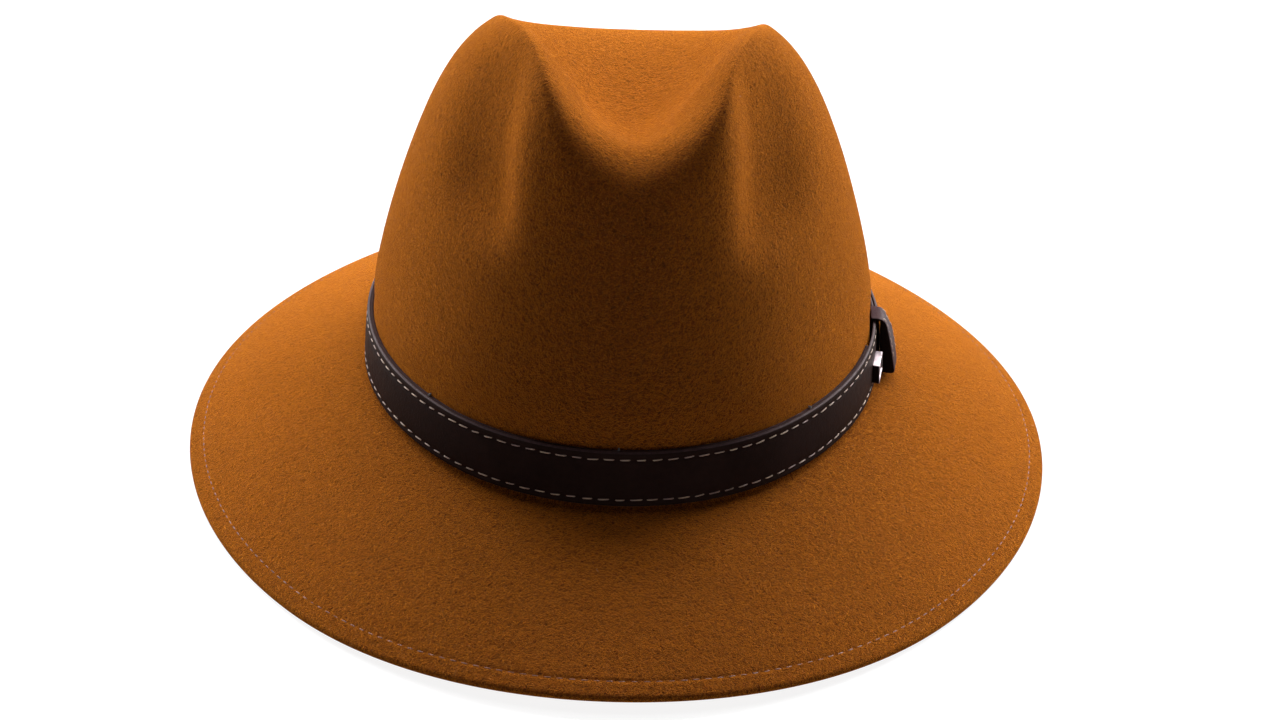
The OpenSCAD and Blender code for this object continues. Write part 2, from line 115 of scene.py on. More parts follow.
def soft_min(a, b, r):
    """The lower of two heights, with the edge between them rounded over r."""
    h = np.clip(0.5 + (b - a) / (2 * r), 0, 1)
    return b * (1 - h) + a * h - r * h * (1 - h)


# The dent's floor rises on part of a cosine's turn and goes on at a slope up to its end.
DIP_TURN, DIP_SLOPE, DIP_END = 135, 1.35, 1.6
# Height over the floor at which the dent has its half width, and what its outer curve adds to it
DENT_LEVEL, DENT_LIP = 12.0, 6.0
# Power of the dent's section at the front, what it gains further back, and the lengths over
# which the section opens and the dent comes back to the centre line
DENT_V, DENT_U, DENT_V_END, DENT_STRAIGHT = 1.2, 0.3, 50.0, 70.0


def dip(f):
    """Rise of the dent's floor, from 0 at its lowest place to 1 at its end, and on past it."""
    low = ((1 - np.cos(np.radians(DIP_TURN * np.minimum(f, 1))))
           / (1 - math.cos(math.radians(DIP_TURN))))
    return np.where(f < 1, low, 1 + DIP_SLOPE * (np.minimum(f, DIP_END) - 1))


def trough(x, y):
    """Height of the centre dent's surface: a V at the front that opens into a U at the back."""
    front = DENT_Z + (NOTCH_Z - DENT_Z) * dip(np.maximum(DENT_YM - y, 0) / (DENT_YM - DENT_Y0))
    back = DENT_Z + (RIM_Z - DENT_Z) * dip(np.maximum(y - DENT_YM, 0) / (DENT_Y1 - DENT_YM))
    w = DENT_FRONT_W + (DENT_BACK_W - DENT_FRONT_W) * smooth((y - DENT_Y0) / (DENT_Y1 - DENT_Y0))
    x = x - DENT_ASIDE * (1 - smooth((y - DENT_Y0) / DENT_STRAIGHT))
    u = np.sqrt((x / w) ** 2 + 0.02) - 0.14
    sharp = DENT_V + DENT_U * smooth((y - DENT_Y0) / DENT_V_END)
    side = DENT_LEVEL * u**sharp + DENT_LEVEL * (x / (w + DENT_LIP)) ** 4
    return np.where(y < DENT_YM, front, back) + side


# The swell starts at the wall's top over the first length and fades out over the second.
SWELL_RISE, SWELL_FADE_Z, SWELL_FADE = 14.0, 42.0, 50.0
# Directions out of the pinch on the wearer's left and across it, mirrored for the other one
PINCH_OUT = (0.72, -0.66, 0.2)
PINCH_ACROSS = (0.676, 0.737)


def crown(a, k):
    """Crown surface: a is the angle round the oval, k runs from 1 at the wall to 0 on top."""
    x, y = oval(a, FELT_OUT - WALL_LEAN * WALL_H)
    x, y = x * k, y * k
    rise = 1 - np.abs(k) ** CROWN_POWER
    z = WALL_H + (CROWN_H - WALL_H) * rise * (1 - CROWN_TILT * y / 100)
    z = np.where(rise > 0.3, soft_min(z, trough(x, y), DENT_ROUND), z)
    full = (FULLNESS * smooth((z - WALL_H) / SWELL_RISE)
            * (1 - smooth((z - SWELL_FADE_Z) / SWELL_FADE)))
    t = np.radians(a)
    p = np.stack([x + full * np.cos(t), y + full * np.sin(t), z], -1)
    for s in (-1, 1):
        q = p - np.array([s * PINCH_X, -PINCH_Y, PINCH_Z])
        n = np.array([s, 1, 1]) * PINCH_OUT
        across = (q[..., 0] * s * PINCH_ACROSS[0] + q[..., 1] * PINCH_ACROSS[1]
                  - PINCH_LEAN * q[..., 2])
        wide = np.where(across < 0, PINCH_IN, PINCH_SIDE)
        g = np.exp(-(np.abs(across / wide) ** 2.3) - (q[..., 2] / PINCH_TALL) ** 4
                   - ((q @ n) / PINCH_THROUGH) ** 2)
        p = p - PINCH_DEPTH * g[..., None] * n
    return p


def crown_normal(a, k):
    """Outward direction of the crown, from small steps along it."""
    k = np.clip(k, 0.03, 0.985)
    da = crown(a + 1, k) - crown(a - 1, k)
    dk = crown(a, k - 0.01) - crown(a, k + 0.01)
    return unit(np.cross(da, dk))


def edge_drop(a):
    """Drop of the brim's edge below the brim break at angle a."""
    t = np.radians(a)
    return BRIM_DROP + SIDE_DROP * np.cos(2 * t) - CORNER_DROP * np.cos(4 * t)


# Height of the brim break over the surface that the hat rests on
REST_H = float(np.max(edge_drop(np.arange(0, 360, 5)))) + FELT_T / 2


def brim_reach(a):
    """Level distance from the brim break to the brim's edge."""
    return np.sqrt(BRIM_W**2 - edge_drop(a) ** 2)


def brim(a, s, depth=0.0):
    """Brim surface from the break (s = 0) to the edge (s = 1), depth below its top."""
    x, y = oval(a, FELT_OUT + brim_reach(a) * s)
    z = -(edge_drop(a) - FELT_T / 2) * (0.75 * s + 0.25 * s * s) - depth
    return np.stack([x, y, z + 0 * x], -1)


def level(a, d, z):
    """Points at the offset d and the one height z."""
    x, y = oval(a, d)
    return np.stack([x, y, np.full_like(x, z)], -1)


def leaning(a, d, z, lean=WALL_LEAN):
    """Point on a layer that leans in with the wall, at offset d and height z."""
    x, y = oval(a, d - lean * np.asarray(z))
    return np.stack([x, y, np.broadcast_to(z, x.shape)], -1)


def outward(a):
    """Outward direction of the oval at angle a."""
    t = np.radians(a)
    return np.stack([np.cos(t), np.sin(t), 0 * t], -1)


def lengths(d, a0, a1, n=2000):
    """Angles from a0 to a1 and the length of the oval at offset d up to each of them."""
    a = np.linspace(a0, a1, n)
    x, y = oval(a, d)
    step = np.hypot(np.diff(x), np.diff(y))
    return a, np.concatenate([[0], np.cumsum(step)])


# ---------------- mesh tools

def to_frame(p):
    """Millimetres from the brim break to metres in the frame."""
    return (np.asarray(p, float) + np.array([0, 0, REST_H])) * MM


def add_mesh(name, points, faces, body="hat", smooth_shade=True):
    mesh = bpy.data.meshes.new(name)
    mesh.from_pydata(to_frame(points).tolist(), [], faces)
    mesh.validate()
    if smooth_shade:
        mesh.shade_smooth()
    obj = bpy.data.objects.new(name, mesh)
    bpy.context.scene.collection.objects.link(obj)
    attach(obj, body)
    return obj


def grid_faces(rows, cols, close_rows):
    """Quads between rows of points; each row is a ring of cols points."""
    faces = []
    for i in range(rows if close_rows else rows - 1):
        k = (i + 1) % rows
        for j in range(cols):
            m = (j + 1) % cols
            faces.append((i * cols + j, i * cols + m, k * cols + m, k * cols + j))
    return faces


def round_section(corners, radii, steps=10):
    """Outline through corner points with each corner rounded, as (n, 2) points."""
    corners = np.asarray(corners, float)
    out = []
    for i, (p, r) in enumerate(zip(corners, radii)):
        a, b = corners[i - 1] - p, corners[(i + 1) % len(corners)] - p
        p0, p1 = p + unit(a) * r, p + unit(b) * r
        for t in np.linspace(0, 1, steps + 1):
            out.append((1 - t) ** 2 * p0 + 2 * t * (1 - t) * p + t * t * p1)
    return np.array(out)


def skin_data(rows, close_rows=False, caps=()):
    """Points and faces of a surface through rings of points, with flat ends where asked."""
    rows = np.asarray(rows)
    n, m = rows.shape[:2]
    faces = grid_faces(n, m, close_rows)
    for end in caps:
        faces.append(tuple(range((n - 1) * m, n * m) if end else range(m - 1, -1, -1)))
    return rows.reshape(-1, 3), faces


def join(name, parts, body="hat"):
    """One piece from several (points, faces) parts, with its faces turned outward."""
    points, faces = [], []
    for p, f in parts:
        start = len(points)
        points.extend(np.asarray(p).tolist())
        faces += [tuple(start + i for i in face) for face in f]
    obj = add_mesh(name, np.array(points), faces, body)
    bm = bmesh.new()
    bm.from_mesh(obj.data)
    bmesh.ops.recalc_face_normals(bm, faces=bm.faces)
    bm.to_mesh(obj.data)
    bm.free()
    return obj


def sweep_data(outline, angles, shift=0.0, lean=WALL_LEAN):
    """An (offset, height) outline swept round the oval; shift moves it out at each angle."""
    angles = np.asarray(angles, float)
    shift = np.broadcast_to(shift, angles.shape)
    rows = [leaning(np.full(len(outline), a), outline[:, 0] + s, outline[:, 1], lean)
            for a, s in zip(angles, shift)]
    return skin_data(rows, caps=(0, 1))


def arc(cx, cy, r, t0, t1, n=5):
    """Points on a circle of radius r, from the angle t0 to t1."""
    t = np.radians(np.linspace(t0, t1, n))
    return np.stack([cx + r * np.cos(t), cy + r * np.sin(t)], -1)


TAPER_TIP, TAPER_POWER = 0.06, 6


def tube_data(path, ups, radius, sides=8, flat=1.0, closed=False):
    """A round or flattened strand along a path. ups are the directions it's flattened in."""
    path, ups = np.asarray(path, float), np.asarray(ups, float)
    if closed:
        along = unit(np.roll(path, -1, 0) - np.roll(path, 1, 0))
    else:
        along = unit(np.gradient(path, axis=0))
    across = unit(np.cross(along, ups))
    up = np.cross(across, along)
    r = np.full(len(path), float(radius))
    if not closed:
        t = np.linspace(-1, 1, len(path))
        r = radius * np.clip(1 - np.abs(t) ** TAPER_POWER, TAPER_TIP, 1) ** 0.5
    f = np.arange(sides) * 2 * math.pi / sides
    rows = (path[:, None] + (r[:, None] * np.cos(f))[..., None] * across[:, None]
            + (r[:, None] * flat * np.sin(f))[..., None] * up[:, None])
    return skin_data(rows, close_rows=closed, caps=() if closed else (0, 1))


# ---------------- materials

class Nodes:
    """Short calls for building a material's nodes."""

    def __init__(self, name):
        self.mat = bpy.data.materials.new(name)
        self.mat.use_nodes = True
        self.tree = self.mat.node_tree
        self.shader = self.tree.nodes["Principled BSDF"]
        self.coords = self.tree.nodes.new("ShaderNodeTexCoord").outputs["Object"]

    def add(self, kind, **values):
        node = self.tree.nodes.new(kind)
        for key, value in values.items():
            setattr(node, key, value)
        return node

    def link(self, a, b):
        self.tree.links.new(a, b)

    def put(self, socket, value):
        """Sets one of the shader's own sockets, or links an output to it."""
        if isinstance(value, bpy.types.NodeSocket):
            self.link(value, self.shader.inputs[socket])
        else:
            self.shader.inputs[socket].default_value = value

    def texture(self, kind, output, inputs, source=None, **values):
        node = self.add(kind, **values)
        self.link(source or self.coords, node.inputs["Vector"])
        for socket, value in inputs.items():
            node.inputs[socket].default_value = value
        return node.outputs[output]

    def stretch(self, scale):
        return self.texture("ShaderNodeMapping", "Vector", {"Scale": scale})

    def noise(self, scale, detail=3.0, rough=0.55, source=None, distortion=0.0):
        inputs = {"Scale": scale, "Detail": detail, "Roughness": rough, "Distortion": distortion}
        return self.texture("ShaderNodeTexNoise", "Fac", inputs, source)

    def pores(self, scale):
        return self.texture("ShaderNodeTexVoronoi", "Distance", {"Scale": scale},
                            feature="DISTANCE_TO_EDGE")

    def wave(self, scale, direction, distortion):
        return self.texture("ShaderNodeTexWave", "Fac", {"Scale": scale, "Distortion": distortion},
                            bands_direction=direction)

    def ramp(self, fac, *stops):
        """A colour ramp through (place, colour) or (place, grey level) stops."""
        node = self.add("ShaderNodeValToRGB")
        self.link(fac, node.inputs["Fac"])
        while len(node.color_ramp.elements) < len(stops):
            node.color_ramp.elements.new(0.5)
        for element, (place, colour) in zip(node.color_ramp.elements, stops):
            element.position = place
            element.color = (*colour, 1) if hasattr(colour, "__len__") else (colour,) * 3 + (1,)
        return node.outputs["Color"]

    def mix(self, fac, a, b, kind="MIX"):
        node = self.add("ShaderNodeMix", data_type="RGBA", blend_type=kind)
        for i, value in ((0, fac), (6, a), (7, b)):
            if isinstance(value, bpy.types.NodeSocket):
                self.link(value, node.inputs[i])
            elif hasattr(value, "__len__"):
                node.inputs[i].default_value = (*value, 1)
            else:
                node.inputs[i].default_value = value if i == 0 else (value,) * 3 + (1,)
        return node.outputs[2]

    def bump(self, height, strength, distance, before=None):
        node = self.add("ShaderNodeBump")
        self.link(height, node.inputs["Height"])
        node.inputs["Strength"].default_value = strength
        node.inputs["Distance"].default_value = distance
        if before:
            self.link(before, node.inputs["Normal"])
        return node.outputs["Normal"]


# Colours, as linear red, green and blue
FELT_DARK, FELT_MID = (0.060, 0.0092, 0.0015), (0.074, 0.0120, 0.0020)
FELT_LIGHT, FELT_FLECK = (0.092, 0.0160, 0.0028), (0.50, 0.20, 0.05)
FELT_SHEEN, FIBRE_SHEEN = (1.0, 0.315, 0.025, 1), (1.0, 0.45, 0.12, 1)
LEATHER_GLINT, LEATHER_SHEEN = (0.8, 0.46, 0.42, 1), (0.78, 0.5, 0.55, 1)
# Strap edge colours: lighter than the strap's face, a painted highlight along its upper and lower
# edges
EDGE_HIGHLIGHT_DARK, EDGE_HIGHLIGHT_LIGHT = (0.012, 0.006, 0.0065), (0.030, 0.015, 0.016)
EDGE_GLINT, SATIN_SHEEN = (0.9, 0.6, 0.58, 1), (1.0, 0.85, 0.6, 1)


def felt_material():
    """Wool felt: broad tone, a fine grain, pale flecks and a warm sheen from its nap."""
    m = Nodes("felt")
    broad = m.noise(17, 4, 0.6)
    cloudy = m.noise(75, 4, 0.6)
    curl = m.noise(420, 2, 0.6)
    grain = m.noise(900, 3, 0.75, distortion=1.6)
    flecks = m.noise(1300, 2, 0.7, distortion=2.5)
    tone = m.mix(0.42, broad, cloudy)
    colour = m.ramp(tone, (0.25, FELT_DARK), (0.5, FELT_MID), (0.75, FELT_LIGHT))
    colour = m.mix(1.0, colour, m.ramp(grain, (0.34, 0.22), (0.5, 0.75), (0.66, 1.0)), "MULTIPLY")
    speck = m.ramp(flecks, (0.58, 0.0), (0.72, 0.5))
    colour = m.mix(speck, colour, FELT_FLECK)
    m.put("Base Color", colour)
    m.put("Roughness", m.ramp(cloudy, (0.3, 0.86), (0.7, 0.98)))
    m.put("Specular IOR Level", 0.02)
    m.put("Sheen Weight", m.ramp(grain, (0.34, 0.62), (0.60, 1.0)))
    m.put("Sheen Roughness", 0.46)
    m.put("Sheen Tint", FELT_SHEEN)
    nap = m.bump(m.mix(0.35, grain, curl), 1.0, 0.0022)
    m.put("Normal", m.bump(cloudy, 0.25, 0.0008, nap))
    return m.mat


def nap_material():
    """The loose fibres that stand on the felt."""
    m = Nodes("felt_fibre")
    m.put("Base Color", m.ramp(m.noise(900, 2), (0.35, FELT_MID), (0.65, FELT_FLECK)))
    m.put("Roughness", 0.8)
    m.put("Specular IOR Level", 0.2)
    m.put("Sheen Weight", 0.6)
    m.put("Sheen Tint", FIBRE_SHEEN)
    m.put("Normal", m.bump(m.noise(3000, 2), 0.2, 0.0002))
    return m.mat


def leather_material(name, dark, light, rough, grain, sheen=0.0, gloss=0.05):
    """Cloudy, finely pored leather; a sheen makes it suede."""
    m = Nodes(name)
    cloudy = m.noise(55, 4, 0.6)
    fine = m.noise(420, 4, 0.65)
    m.put("Base Color", m.ramp(m.mix(0.4, cloudy, fine), (0.34, dark), (0.66, light)))
    m.put("Roughness", m.ramp(m.mix(0.5, cloudy, fine), (0.35, rough - 0.08), (0.65, rough + 0.1)))
    m.put("Specular IOR Level", gloss)
    m.put("Specular Tint", LEATHER_GLINT)
    if sheen:
        m.put("Sheen Weight", sheen)
        m.put("Sheen Roughness", 0.35)
        m.put("Sheen Tint", LEATHER_SHEEN)
    pores = m.bump(m.pores(grain), 0.35, 0.00025)
    m.put("Normal", m.bump(fine, 0.3, 0.00035, pores))
    return m.mat


def edge_highlight_material():
    """The strap's turned upper and lower edges, painted a little redder and lighter than its face
    as a highlight where they catch the light.
    """
    m = Nodes("leather_edge_painted_highlight")
    fine = m.noise(900, 3, 0.7)
    m.put("Base Color", m.ramp(fine, (0.35, EDGE_HIGHLIGHT_DARK), (0.7, EDGE_HIGHLIGHT_LIGHT)))
    m.put("Roughness", m.ramp(fine, (0.3, 0.5), (0.7, 0.7)))
    m.put("Specular IOR Level", 0.12)
    m.put("Specular Tint", EDGE_GLINT)
    m.put("Normal", m.bump(fine, 0.4, 0.0003))
    return m.mat


def thread_material(name, dark, light, sheen=0.3):
    """Twisted thread, uneven along its length."""
    m = Nodes(name)
    long = m.noise(150, 2, 0.6)
    ply = m.wave(1500, "DIAGONAL", 1.2)
    colour = m.ramp(long, (0.35, dark), (0.65, light))
    m.put("Base Color", m.mix(0.6, colour, m.ramp(ply, (0.1, 0.5), (0.7, 1.0)), "MULTIPLY"))
    m.put("Roughness", m.ramp(ply, (0.0, 0.7), (1.0, 0.5)))
    m.put("Sheen Weight", sheen)
    m.put("Normal", m.bump(ply, 0.5, 0.00015))
    return m.mat


BRUSH_STRETCH, METAL_SHADE = (1.0, 0.08, 1.6), 0.72


def metal_material(name, colour, rough):
    """Metal brushed along the strap, with a faint patina."""
    m = Nodes(name)
    lines = m.noise(900, 3, 0.7, m.stretch(BRUSH_STRETCH))
    patina = m.noise(260, 4, 0.65)
    shade = tuple(c * METAL_SHADE for c in colour)
    m.put("Base Color", m.ramp(m.mix(0.5, lines, patina), (0.35, shade), (0.6, colour)))
    m.put("Metallic", 1.0)
    m.put("Roughness", m.ramp(lines, (0.3, rough), (0.7, rough + 0.18)))
    m.put("Normal", m.bump(lines, 0.12, 0.0001))
    return m.mat


def satin_material(name, dark, light, rough):
    """Fine glossy weave over soft folds."""
    m = Nodes(name)
    folds = m.noise(60, 4, 0.6)
    weave = m.wave(2600, "Z", 0.4)
    m.put("Base Color", m.ramp(m.mix(0.3, folds, weave), (0.3, dark), (0.7, light)))
    m.put("Roughness", m.ramp(folds, (0.3, rough), (0.7, rough + 0.16)))
    m.put("Specular IOR Level", 0.55)
    m.put("Sheen Weight", 0.4)
    m.put("Sheen Tint", SATIN_SHEEN)
    m.put("Normal", m.bump(weave, 0.12, 0.0001, m.bump(folds, 0.35, 0.0012)))
    return m.mat


def woven_material(name, dark, light):
    """Plain matt weave of tape and labels."""
    m = Nodes(name)
    warp, weft = m.wave(1900, "X", 0.3), m.wave(1900, "Z", 0.3)
    weave = m.mix(0.5, warp, weft)
    m.put("Base Color", m.mix(0.35, m.ramp(weave, (0.2, dark), (0.8, light)),
                              m.ramp(m.noise(300, 3), (0.3, 0.7), (0.7, 1.0)), "MULTIPLY"))
    m.put("Roughness", m.ramp(weave, (0.0, 0.92), (1.0, 0.75)))
    m.put("Sheen Weight", 0.2)
    m.put("Normal", m.bump(weave, 0.4, 0.0002))
    return m.mat


LOOKS = {
    "felt": felt_material(),
    "fibre": nap_material(),
    "strap": leather_material("strap_leather", (0.008, 0.0042, 0.0034), (0.015, 0.0078, 0.0066),
                              rough=0.5, grain=900, gloss=0.02),
    "keeper": leather_material("keeper_leather", (0.015, 0.006, 0.007), (0.032, 0.013, 0.015),
                               rough=0.5, grain=900),
    # Near-black cut edges: edge paint with painted shade on the keeper's ends, painted shade alone
    # on the badge's ends.
    "cut_edge_paint_and_shade": leather_material("edge_paint_and_painted_shade", (0.0025, 0.0016, 0.0014),
                                  (0.006, 0.0036, 0.003), rough=0.6, grain=1200),
    "edge": edge_highlight_material(),
    "suede": leather_material("leather_back", (0.014, 0.007, 0.006), (0.030, 0.015, 0.013),
                              rough=0.8, grain=1500, sheen=0.05),
    "sweat_leather": leather_material("sweatband_leather", (0.13, 0.058, 0.024),
                                      (0.21, 0.098, 0.042), rough=0.42, grain=620, gloss=0.5),
    "stitch": thread_material("pale_thread", (0.23, 0.145, 0.13), (0.40, 0.29, 0.20), 0.1),
    "tonal": thread_material("tonal_thread", (0.10, 0.024, 0.004), (0.15, 0.038, 0.007), 0.0),
    "dark_thread": thread_material("dark_thread", (0.02, 0.011, 0.008), (0.05, 0.027, 0.018)),
    "nickel": metal_material("nickel", (0.24, 0.195, 0.205), 0.36),
    "steel": metal_material("plain_steel", (0.56, 0.56, 0.58), 0.32),
    "satin": satin_material("lining_satin", (0.15, 0.105, 0.045), (0.34, 0.25, 0.12), 0.3),
    "ribbon": satin_material("dark_ribbon", (0.010, 0.006, 0.005), (0.035, 0.022, 0.02), 0.35),
    "piping": satin_material("dark_piping", (0.014, 0.009, 0.007), (0.05, 0.033, 0.026), 0.35),
    "tape": woven_material("dark_tape", (0.008, 0.006, 0.006), (0.03, 0.024, 0.024)),
    "label": woven_material("ivory_label", (0.62, 0.57, 0.45), (0.83, 0.79, 0.68)),
}


def finish(obj, look, node, more=(), stands_in=True):
    """Gives a piece its materials and, where it stands in for a CAD node, hides that node."""
    for key in (look, *more):
        obj.data.materials.append(LOOKS[key])
    if stands_in:
        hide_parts(node)


def carry_over(node, look):
    """Keeps a CAD node and gives it a better material."""
    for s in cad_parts[node].material_slots:
        s.material = LOOKS[look]


# ---------------- felt

TURNS = 480
ROUND = np.linspace(0, 360, TURNS, endpoint=False)
SEED = 7
UNEVEN_BRIM, UNEVEN_CROWN = 0.35, 0.3


def ripple(p):
    """Slow unevenness of hand-shaped felt, from -1 to 1."""
    x, y, z = p[..., 0], p[..., 1], p[..., 2]
    return (np.sin(x / 11 + 1.3 * np.sin(y / 17)) + np.sin(y / 13 + z / 19 + 0.7)
            + np.sin(z / 9 - x / 23 + 2.1)) / 3


def uneven_brim(p, s):
    """Unevenness of the brim at its points p, fading out at the break and the edge."""
    return UNEVEN_BRIM * np.sin(math.pi * np.clip(s, 0, 1)) * ripple(p * np.array([1, 1, 0]))


def uneven_crown(p):
    """Unevenness of the crown at its points p, fading out above the band."""
    return UNEVEN_CROWN * ripple(p) * smooth((p[..., 2] - 26) / 20)


def brim_row(inside, depth=0.0):
    """Row of the brim at a distance inside its edge."""
    s = 1 - inside / brim_reach(ROUND)
    p = brim(ROUND, s, depth)
    p[:, 2] += uneven_brim(p, s)
    return p


def brim_top(inside):
    """Top of the brim, with the sunk line of the edge row and the faint ridge inside it."""
    return brim_row(inside, 0.24 * hump(inside, EDGE_ROW, 0.6) - 0.10 * hump(inside, 14, 1.2))


def fillet(low, corner, high, n=7):
    """Rows on a smooth curve between two rows."""
    return [(1 - t) ** 2 * low + 2 * t * (1 - t) * corner + t * t * high
            for t in np.linspace(0, 1, n + 2)[1:-1]]


def crown_skins(k):
    """Outer and inner surface of the crown at ring k."""
    p, n = crown(ROUND, k), crown_normal(ROUND, k)
    lift = uneven_crown(p)[:, None]
    return p + n * lift, p + n * (lift - FELT_T)


# Distances inside the brim's edge where its lip ends and the wide-set rings start, the room for
# the curve at the brim break, and the crown's rings, which end just short of its top
LIP_START, BROAD_START, BREAK_ROOM = 1.15, 9.0, 3.0
CROWN_SKINS, TOP_HOLE = 140, 0.008


def felt_rows():
    """Rings of the felt from its edge over the top, and back from the top to its edge."""
    r = FELT_T / 2
    turn = np.radians(np.linspace(0, 90, 7))
    lip = [(r * (1 - math.cos(t) ** 0.8), r * (1 - math.sin(t) ** 0.8)) for t in turn[:-1]]
    near = np.concatenate([np.arange(LIP_START, 4, 0.45), np.arange(4, 6.1, 0.18),
                           np.arange(6.4, BROAD_START, 0.6)])
    span = brim_reach(ROUND) - BROAD_START - BREAK_ROOM
    outer = [brim_row(i, d) for i, d in lip] + [brim_top(i) for i in near]
    outer += [brim_top(BROAD_START + span * u) for u in np.linspace(0, 1, 44)]
    wall = leaning(ROUND, FELT_OUT, 2.4)
    outer += fillet(outer[-1], level(ROUND, FELT_OUT + 0.2, -0.06), wall)
    outer += [wall] + [leaning(ROUND, FELT_OUT, z) for z in np.arange(5, WALL_H, 3)]
    rings = 1 - (1 - TOP_HOLE) * np.linspace(0, 1, CROWN_SKINS + 1) ** 1.45
    skins = [crown_skins(k) for k in rings]
    outer += [s[0] for s in skins]
    inner = [s[1] for s in skins[::-1]]
    inner += [leaning(ROUND, FELT_ROOM, z) for z in np.arange(17, 2, -4)]
    under = brim_row(brim_reach(ROUND) - BREAK_ROOM, FELT_T)
    low = leaning(ROUND, FELT_ROOM, 1.5)
    inner += [low] + fillet(low, level(ROUND, FELT_ROOM + 0.1, -FELT_T - 0.1), under)
    inner += [brim_row(BROAD_START + span * u, FELT_T) for u in np.linspace(1, 0, 40)]
    inner += [brim_row(i, FELT_T) for i in (8, 7, 6, 5, 4, 3, 2, LIP_START)]
    inner += [brim_row(i, FELT_T - d) for i, d in lip[:0:-1]]
    return np.array(outer), np.array(inner)


def make_felt():
    """The felt as one closed skin. Gives back its outer rings."""
    outer, inner = felt_rows()
    po, fo = skin_data(outer, caps=(1,))
    pi, fi = skin_data(inner, caps=(0,))
    n, last = len(po), len(po) + (len(inner) - 1) * TURNS
    seam = [(last + j, last + (j + 1) % TURNS, (j + 1) % TURNS, j) for j in range(TURNS)]
    faces = fo + [tuple(n + i for i in f) for f in fi] + seam
    felt = join("felt_hat", [(np.concatenate([po, pi]), faces)])
    finish(felt, "felt", "felt_body")
    return outer


# A place under the crown that the outer faces look away from
INSIDE = np.array([0, 0, 20])
# Fibres: how many, how upright, how long and half how wide each is
FIBRE_COUNT, FIBRE_LIFT = 45000, (0.25, 0.95)
FIBRE_LENGTH, FIBRE_HALF_W = (0.25, 0.85), (0.02, 0.045)


def make_nap(outer):
    """Short loose fibres standing on the felt, seen at its outlines and on its folds."""
    count = FIBRE_COUNT
    rng = np.random.default_rng(SEED)
    a, b = outer[:-1], outer[1:]
    c, d = np.roll(a, -1, 1), np.roll(b, -1, 1)
    cross = np.cross(d - a, b - c).reshape(-1, 3)
    area = np.linalg.norm(cross, axis=1)
    normal = cross / np.maximum(area, 1e-9)[:, None]
    pick = rng.choice(len(area), count, p=area / area.sum())
    u, v = rng.random((2, count, 1))
    a, b, c, d = (corner.reshape(-1, 3)[pick] for corner in (a, b, c, d))
    base = (a * (1 - u) + c * u) * (1 - v) + (b * (1 - u) + d * u) * v
    n = normal[pick]
    n *= np.sign((n * (base - INSIDE)).sum(1) + 1e-9)[:, None]
    loose = rng.normal(size=(count, 3))
    lie = unit(loose - (loose * n).sum(1, keepdims=True) * n)
    lift = rng.uniform(*FIBRE_LIFT, (count, 1))
    way = n * lift + lie * np.sqrt(1 - lift**2)
    side = unit(np.cross(way, n))
    length = rng.uniform(*FIBRE_LENGTH, (count, 1))
    w = rng.uniform(*FIBRE_HALF_W, (count, 1))
    base = base - n * 0.03
    points = np.stack([base - side * w, base + side * w, base + way * length], 1).reshape(-1, 3)
    faces = [(3 * i, 3 * i + 1, 3 * i + 2) for i in range(count)]
    nap = add_mesh("felt_nap", points, faces, smooth_shade=False)
    finish(nap, "fibre", "felt_body", stands_in=False)


LINT_COUNT = 14


def make_lint(outer):
    """A few pale bits of lint lying on the felt."""
    rng = np.random.default_rng(SEED + 4)
    parts = []
    for _ in range(LINT_COUNT):
        i, j = rng.integers(8, len(outer) - 60), rng.integers(0, TURNS)
        p = outer[i, j]
        n = unit(np.cross(outer[i + 1, j] - p, outer[i, (j + 1) % TURNS] - p))
        n *= 1 if n @ (p - INSIDE) > 0 or n[2] > 0.5 else -1
        way = rng.normal(size=3)
        way = unit(way - (way @ n) * n)
        side = np.cross(n, way)
        t = np.linspace(-1, 1, 7)[:, None]
        length = rng.uniform(0.4, 1.1)
        path = p + n * (0.12 + 0.25 * (1 - t**2)) + way * length * t
        path = path + side * (rng.normal() * 0.4 * (t**2 - 0.4))
        parts.append(tube_data(path, np.repeat(n[None], 7, 0), rng.uniform(0.03, 0.05), 5))
    finish(join("lint", parts), "stitch", "band_thread_upper", stands_in=False)


UP = np.array([0, 0, 1.0])
# Radius of the thread outside the hat and of the thinner thread inside it
THREAD_R, INNER_R = 0.24, 0.2
EDGE_PITCH, EDGE_STITCH, EDGE_SINK = 3.6, 2.7, 0.33


def make_edge_row():
    """Tonal stitches sunk just inside the brim edge."""
    rng = np.random.default_rng(SEED + 1)
    reach = float(np.mean(brim_reach(ROUND))) + FELT_OUT - EDGE_ROW
    a, s = lengths(reach, 0, 360)
    t = np.linspace(-1, 1, 6)
    parts = []
    for mid in np.arange(1, s[-1] - 1, EDGE_PITCH):
        at = np.interp(mid + EDGE_STITCH / 2 * t, s, a)
        share = 1 - EDGE_ROW / brim_reach(at)
        p = brim(at, share)
        p[:, 2] += uneven_brim(p, share) - EDGE_SINK - 0.25 * t**4 + rng.normal() * 0.02
        parts.append(tube_data(p, np.tile(UP, (len(t), 1)), THREAD_R, 6, 0.8))
    finish(join("edge_stitches", parts), "tonal", "brim_edge_thread")


# ---------------- hat band

STITCH_PITCH, STITCH_LEN, STITCH_SINK = 5.1, 3.9, 0.42
FURROW, FURROW_W, PUFF, EDGE_ROUND = 0.3, 0.6, 0.16, 0.42
LAP_RAMP = 7.0


